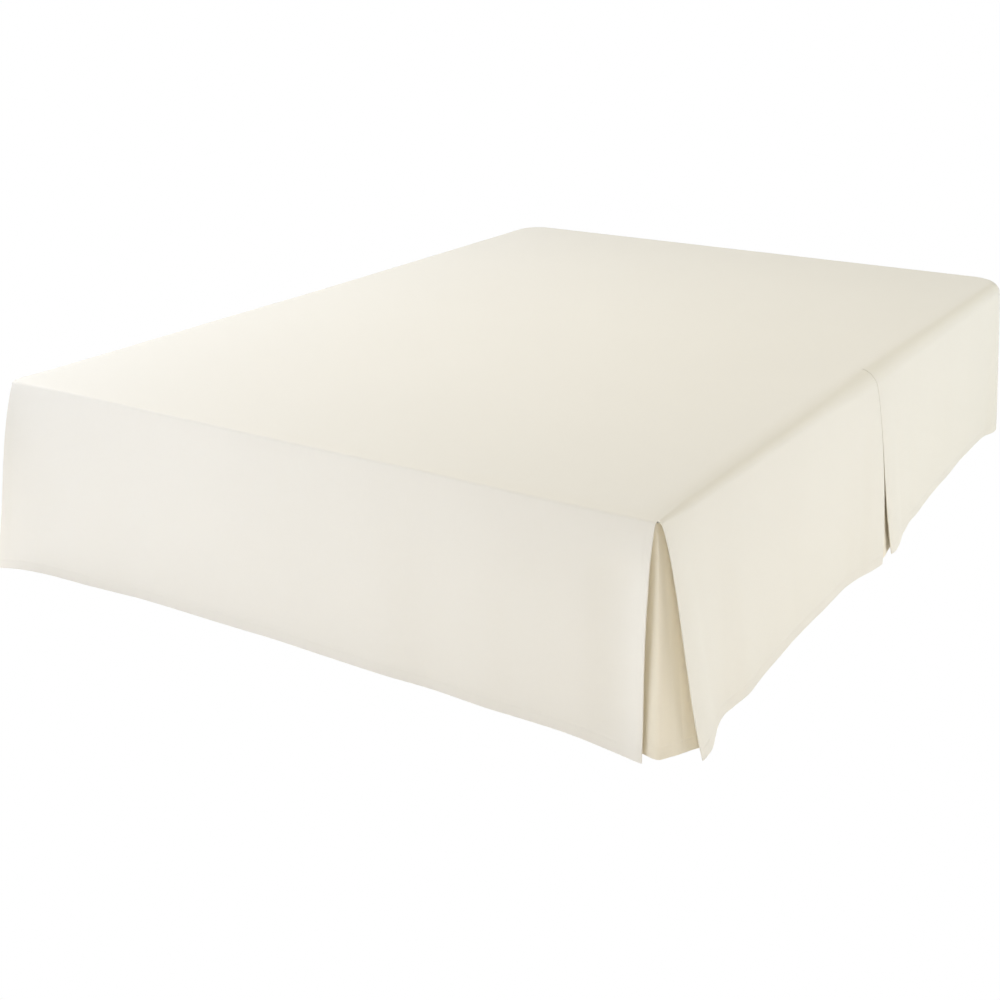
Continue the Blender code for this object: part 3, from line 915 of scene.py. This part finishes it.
# %% Model one stitch
STITCH_LENGTH = 0.0025
STITCH_WIDTH = 0.0005
STITCH_HEIGHT = 0.0004
STITCH_PITCH = 0.0031
BEAD_SIDES = 6
BEAD_RINGS = 4

bpy.ops.mesh.primitive_uv_sphere_add(segments=BEAD_SIDES, ring_count=BEAD_RINGS, radius=0.5)
bead = bpy.context.object
bpy.ops.transform.rotate(value=math.pi / 2, orient_axis='Y', center_override=(0.0, 0.0, 0.0))
bpy.ops.object.transform_apply(location=False, rotation=True, scale=False)
bead_points = [vert.co.copy() for vert in bead.data.vertices]
bead_faces = sorted(tuple(face.vertices) for face in bead.data.polygons)
bpy.data.objects.remove(bead)
print("one stitch has", len(bead_faces), "faces")

# %% Find where the stitches of a panel go
NUDGE = 0.0008
SEAM_CLEAR = 0.012


def surface_place(panel, along, height):
    """A point on a panel's drop with its directions along the hem, upwards and outwards."""
    inset = UNDERLAY_INSET if panel.rows is underlay_rows else 0.0

    def at(along, height):
        fold = fold_at(panel.folds, along)
        hem = hem_height(panel, fold)
        return panel_point(panel, fold, Row(inset, height, row_depth(height, hem)), hem)

    across = (at(along + NUDGE, height) - at(along - NUDGE, height)).normalized()
    up = (at(along, height + NUDGE) - at(along, height - NUDGE)).normalized()
    outward = up.cross(across) if panel.mirror else across.cross(up)
    return at(along, height), across, up, outward


def hem_seam(panel):
    """Places of the stitches that hold the hem."""
    start, end = panel.folds[0].along + SIDE_HEM, panel.folds[-1].along - SIDE_HEM
    count = int((end - start) / STITCH_PITCH)
    seam = []
    for i in range(count):
        along = start + (i + 0.5) * (end - start) / count
        line = hem_height(panel, fold_at(panel.folds, along)) + HEM_DEPTH
        seam.append(surface_place(panel, along, line))
    return seam


def side_seam(panel, along):
    """Places of the stitches that hold one turned side edge."""
    top = deck_top - panel.roll(along) - SEAM_CLEAR
    low = hem_height(panel, fold_at(panel.folds, along)) + HEM_DEPTH
    count = int((top - low) / STITCH_PITCH)
    seam = []
    for i in range(count):
        height = low + (i + 0.5) * (top - low) / count
        place, across, up, outward = surface_place(panel, along, height)
        seam.append((place, up, across, outward))
    return seam


# %% Sew the stitches
def sew(name, seam):
    """One mesh with a bead for every stitch of a seam."""
    points, faces = [], []
    for place, forward, sideways, outward in seam:
        base = len(points)
        for co in bead_points:
            points.append(place + forward * co.x * STITCH_LENGTH + sideways * co.y * STITCH_WIDTH
                          + outward * co.z * STITCH_HEIGHT)
        faces += [tuple(base + index for index in face) for face in bead_faces]
    mesh = bpy.data.meshes.new(name)
    mesh.from_pydata(points, [], faces)
    bm = bmesh.new()
    bm.from_mesh(mesh)
    bmesh.ops.recalc_face_normals(bm, faces=bm.faces)
    bm.to_mesh(mesh)
    bm.free()
    mesh.shade_smooth()
    thread = bpy.data.objects.new(name, mesh)
    scene.collection.objects.link(thread)
    print(f"{name}: {len(seam)} stitches")
    return thread


threads = {}
for node, (panel, cloth) in panels.items():
    seam = hem_seam(panel)
    if panel.rows is panel_rows:
        seam += side_seam(panel, panel.folds[0].along + SIDE_HEM)
        seam += side_seam(panel, panel.folds[-1].along - SIDE_HEM)
    threads[node] = sew(f"hem_stitches_{panel.name}", seam)

head_line_z = deck_top - SOFT_ROLL - HEAD_FLAP_DROP + HEAD_STITCH_LINE
head_count = int(2 * (flap_half - SIDE_HEM) / STITCH_PITCH)
head_seam = []
for i in range(head_count):
    x = (2 * (i + 0.5) / head_count - 1) * (flap_half - SIDE_HEM)
    head_seam.append((Vector((x, head_line - HEM_TROUGH, head_line_z)), Vector((1.0, 0.0, 0.0)),
                      Vector((0.0, 0.0, 1.0)), Vector((0.0, 1.0, 0.0))))
threads["deck"] = sew("hem_stitches_deck_cloth", head_seam)

# %% [markdown]
# ## Woven cloth
#
# From a step away the cloth is plain and smooth, and close up it is a plain weave: each yarn
# passes over one and under the next. A checker of crossings decides which yarn lies on top,
# and the sine of the distance across it gives its round back. Spun yarn is never even, so long
# thin streaks along both directions, called slubs, change its thickness and its tone a little.
# The weave is one node group, so the ivory cloth, the ticking and the thread can share it.

# %% Helpers for node trees
def calculate(tree, operation, *values):
    """Add a Math node whose values are numbers or sockets, and return its output."""
    made = tree.nodes.new("ShaderNodeMath")
    made.operation = operation
    for socket, value in zip(made.inputs, values):
        if isinstance(value, bpy.types.NodeSocket):
            tree.links.new(value, socket)
        else:
            socket.default_value = value
    return made.outputs["Value"]


def new_group(name, inputs, outputs):
    """A shader node group with its sockets, and its own input and output nodes."""
    group = bpy.data.node_groups.new(name, 'ShaderNodeTree')
    for kind, sockets in (('INPUT', inputs), ('OUTPUT', outputs)):
        for socket_name, socket_type in sockets:
            group.interface.new_socket(name=socket_name, in_out=kind, socket_type=socket_type)
    return group, group.nodes.new("NodeGroupInput"), group.nodes.new("NodeGroupOutput")


def streaks(tree, place, stretch, detail):
    """Noise stretched by a different amount along each direction of a map."""
    squeeze = tree.nodes.new("ShaderNodeVectorMath")
    squeeze.operation = 'MULTIPLY'
    squeeze.inputs[1].default_value = stretch
    tree.links.new(place, squeeze.inputs[0])
    noise_node = tree.nodes.new("ShaderNodeTexNoise")
    noise_node.inputs["Scale"].default_value = 1.0
    noise_node.inputs["Detail"].default_value = detail
    tree.links.new(squeeze.outputs["Vector"], noise_node.inputs["Vector"])
    return noise_node.outputs["Fac"]


def two_tones(tree, light, deep, share):
    """A blend from a light colour to a deep one."""
    blend = tree.nodes.new("ShaderNodeMix")
    blend.data_type = 'RGBA'
    blend.inputs["A"].default_value = (*light, 1.0)
    blend.inputs["B"].default_value = (*deep, 1.0)
    tree.links.new(share, blend.inputs["Factor"])
    return blend.outputs["Result"]


def raised(tree, height, strength, distance):
    """The normal of a surface whose height changes a little."""
    bump = tree.nodes.new("ShaderNodeBump")
    bump.inputs["Strength"].default_value = strength
    bump.inputs["Distance"].default_value = distance
    tree.links.new(height, bump.inputs["Height"])
    return bump.outputs["Normal"]


# %% Build the weave
YARN_BODY = 0.55
YARN_ROUND = 0.5
WARP_SLUB = (1100.0, 32.0, 1.0)
WEFT_SLUB = (26.0, 1100.0, 1.0)
SLUB_DETAIL = 2.0

weave, given, made = new_group(
    "plain weave", (("Map", 'NodeSocketVector'), ("Yarn", 'NodeSocketFloat')),
    (("Height", 'NodeSocketFloat'), ("Slub", 'NodeSocketFloat')))
split = weave.nodes.new("ShaderNodeSeparateXYZ")
weave.links.new(given.outputs["Map"], split.inputs["Vector"])
backs, cells = [], []
for axis in ("X", "Y"):
    yarns = calculate(weave, 'DIVIDE', split.outputs[axis], given.outputs["Yarn"])
    cells.append(calculate(weave, 'FLOOR', yarns))
    turn = calculate(weave, 'MULTIPLY', yarns, math.pi)
    backs.append(calculate(weave, 'ABSOLUTE', calculate(weave, 'SINE', turn)))
crossing = calculate(weave, 'FLOORED_MODULO', calculate(weave, 'ADD', *cells), 2.0)
tops = []
for back, along in (backs, reversed(backs)):
    dive = calculate(weave, 'MULTIPLY_ADD', along, 1 - YARN_BODY, YARN_BODY)
    tops.append(calculate(weave, 'MULTIPLY', calculate(weave, 'POWER', back, YARN_ROUND), dive))
pick = weave.nodes.new("ShaderNodeMix")
weave.links.new(crossing, pick.inputs["Factor"])
weave.links.new(tops[0], pick.inputs["A"])
weave.links.new(tops[1], pick.inputs["B"])
slubs = [streaks(weave, given.outputs["Map"], stretch, SLUB_DETAIL)
         for stretch in (WARP_SLUB, WEFT_SLUB)]
slub = calculate(weave, 'MULTIPLY', calculate(weave, 'ADD', *slubs), 0.5)
weave.links.new(calculate(weave, 'ADD', pick.outputs["Result"], slub), made.inputs["Height"])
weave.links.new(slub, made.inputs["Slub"])
print("plain weave group has", len(weave.nodes), "nodes")


# %% Lay a pattern on a piece
LEVEL_FROM = 0.5


def place_on(tree, piece_map):
    """Map coordinates of a cloth piece, or object coordinates laid flat for a rigid piece."""
    if piece_map:
        own = tree.nodes.new("ShaderNodeUVMap")
        own.uv_map = "cloth_map"
        return own.outputs["UV"]
    place = tree.nodes.new("ShaderNodeTexCoord")
    spread = tree.nodes.new("ShaderNodeSeparateXYZ")
    tree.links.new(place.outputs["Object"], spread.inputs["Vector"])
    facing = tree.nodes.new("ShaderNodeSeparateXYZ")
    tree.links.new(place.outputs["Normal"], facing.inputs["Vector"])
    upwards = calculate(tree, 'ABSOLUTE', facing.outputs["Z"])
    level = calculate(tree, 'GREATER_THAN', upwards, LEVEL_FROM)
    upright = calculate(tree, 'SUBTRACT', 1.0, level)
    joined = tree.nodes.new("ShaderNodeCombineXYZ")
    y_share = calculate(tree, 'MULTIPLY', spread.outputs["Y"], upright)
    tree.links.new(calculate(tree, 'ADD', spread.outputs["X"], y_share), joined.inputs["X"])
    z_share = calculate(tree, 'MULTIPLY', spread.outputs["Z"], upright)
    flat_y = calculate(tree, 'MULTIPLY', spread.outputs["Y"], level)
    tree.links.new(calculate(tree, 'ADD', z_share, flat_y), joined.inputs["Y"])
    return joined.outputs["Vector"]


# %% Make a cloth material
Cloth = namedtuple("Cloth", "name light deep yarn relief roughness sheen piece_map")
CLOUDS = (3.0, 3.0, 1.0)
CLOUD_DETAIL = 1.0
CLOUD_SHARE = 0.35
SHEEN_ROUGHNESS = 0.45
ROUGHNESS_SPREAD = 0.1
YARN_RISE = 0.4


def cloth_material(cloth):
    """Woven cloth with its own two tones, yarn and softness."""
    material, tree, shader = new_material(cloth.name)
    shader.inputs["Sheen Weight"].default_value = cloth.sheen
    shader.inputs["Sheen Roughness"].default_value = SHEEN_ROUGHNESS
    place = place_on(tree, cloth.piece_map)
    woven = tree.nodes.new("ShaderNodeGroup")
    woven.node_tree = weave
    woven.inputs["Yarn"].default_value = cloth.yarn
    tree.links.new(place, woven.inputs["Map"])
    slub = woven.outputs["Slub"]
    clouds = streaks(tree, place, CLOUDS, CLOUD_DETAIL)
    cloudy = calculate(tree, 'MULTIPLY', clouds, CLOUD_SHARE)
    tone = calculate(tree, 'MULTIPLY_ADD', slub, 1 - CLOUD_SHARE, cloudy)
    tree.links.new(two_tones(tree, cloth.light, cloth.deep, tone), shader.inputs["Base Color"])
    matt = calculate(tree, 'MULTIPLY_ADD', slub, ROUGHNESS_SPREAD,
                     cloth.roughness - ROUGHNESS_SPREAD / 2)
    tree.links.new(matt, shader.inputs["Roughness"])
    normal = raised(tree, woven.outputs["Height"], cloth.relief, cloth.yarn * YARN_RISE)
    tree.links.new(normal, shader.inputs["Normal"])
    return material


# %% Weave the ivory cloth, its copy with painted recess shade, the thread and the ticking
CLOTHS = (
    Cloth("ivory cloth", (0.875, 0.825, 0.725), (0.825, 0.775, 0.675), 0.00045, 0.25, 0.70,
          0.30, True),
    # The underlays take a copy of the ivory cloth with painted shade: warmer and more saturated,
    # standing in for light bounced between the cloths in the corner recess.
    Cloth("ivory underlay cloth", (0.93, 0.85, 0.69), (0.88, 0.80, 0.64), 0.00045, 0.25, 0.75,
          0.20, True),
    Cloth("ivory thread", (0.90, 0.86, 0.77), (0.80, 0.75, 0.65), 0.00020, 0.20, 0.55,
          0.10, False),
    Cloth("cream ticking", (0.80, 0.77, 0.70), (0.70, 0.67, 0.60), 0.00090, 0.50, 0.85,
          0.10, False),
)
ivory, recess_shaded_ivory, thread_ivory, ticking = [cloth_material(cloth) for cloth in CLOTHS]

# %% [markdown]
# ## Wood for the legs
#
# The legs are turned from beech and stand in the shade of the skirt. Wood grain is noise drawn
# out along the length of the timber, with darker growth lines laid over finer pores. The grain
# darkens the colour, and very slightly dents the surface.

# %% Make the wood material
BEECH_LIGHT = (0.42, 0.26, 0.14)
BEECH_DARK = (0.23, 0.13, 0.065)
WOOD_SPECULAR = 0.4
GROWTH = (90.0, 90.0, 7.0)
GROWTH_DETAIL = 3.0
PORES = (700.0, 700.0, 30.0)
PORE_DETAIL = 2.0
PORE_SHARE = 0.35
SATIN = 0.35
SATIN_SPREAD = 0.25
DENTS = 0.3
DENT_DEPTH = 0.0004

wood, tree, shader = new_material("leg wood")
shader.inputs["Specular IOR Level"].default_value = WOOD_SPECULAR
place = tree.nodes.new("ShaderNodeTexCoord").outputs["Object"]
growth = calculate(tree, 'MULTIPLY', streaks(tree, place, GROWTH, GROWTH_DETAIL), 1 - PORE_SHARE)
pores = streaks(tree, place, PORES, PORE_DETAIL)
grain = calculate(tree, 'MULTIPLY_ADD', pores, PORE_SHARE, growth)
tree.links.new(two_tones(tree, BEECH_LIGHT, BEECH_DARK, grain), shader.inputs["Base Color"])
satin = calculate(tree, 'MULTIPLY_ADD', grain, SATIN_SPREAD, SATIN)
tree.links.new(satin, shader.inputs["Roughness"])
tree.links.new(raised(tree, grain, DENTS, DENT_DEPTH), shader.inputs["Normal"])
print("beech for the legs has", len(tree.nodes), "nodes")

# %% [markdown]
# ## Dressing the frame
#
# Each sheet now takes the place of its rigid twin and rides with it, and the size it was
# cut to is worked out: as wide as its seam at the top and as its hem at the bottom. The base and
# the legs keep their rigid shapes, which are right as they are, and only take a better finish.

# %% Finish the base and the legs
for name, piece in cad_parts.items():
    if name == "bed_base" or name.startswith("leg_"):
        finish = ticking if name == "bed_base" else wood
        for slot in piece.material_slots:
            slot.material = finish
        print(name, "is finished in", finish.name)

# %% Put each cloth and its thread in place
pieces = {"deck": deck}
pieces.update({node: cloth for node, (panel, cloth) in panels.items()})
for node, cloth in pieces.items():
    # Underlays take the ivory copy with the painted shade of the corner recess.
    cloth.data.materials.append(recess_shaded_ivory if "underlay" in node else ivory)
    threads[node].data.materials.append(thread_ivory)
    for piece in (cloth, threads[node]):
        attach(piece, "root")
    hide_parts(node)

# %% Work out what each sheet was cut to
def hem_run(panel):
    """Length of a panel's hem, measured along its folds."""
    points = []
    for along in panel_places(panel):
        fold = fold_at(panel.folds, along)
        hem = hem_height(panel, fold)
        points.append(panel_point(panel, fold, Row(0.0, hem, 1.0), hem))
    return sum((after - before).length for before, after in zip(points, points[1:]))


for node, (panel, cloth) in panels.items():
    seam_run = panel.folds[-1].along - panel.folds[0].along
    widths = (seam_run, hem_run(panel))
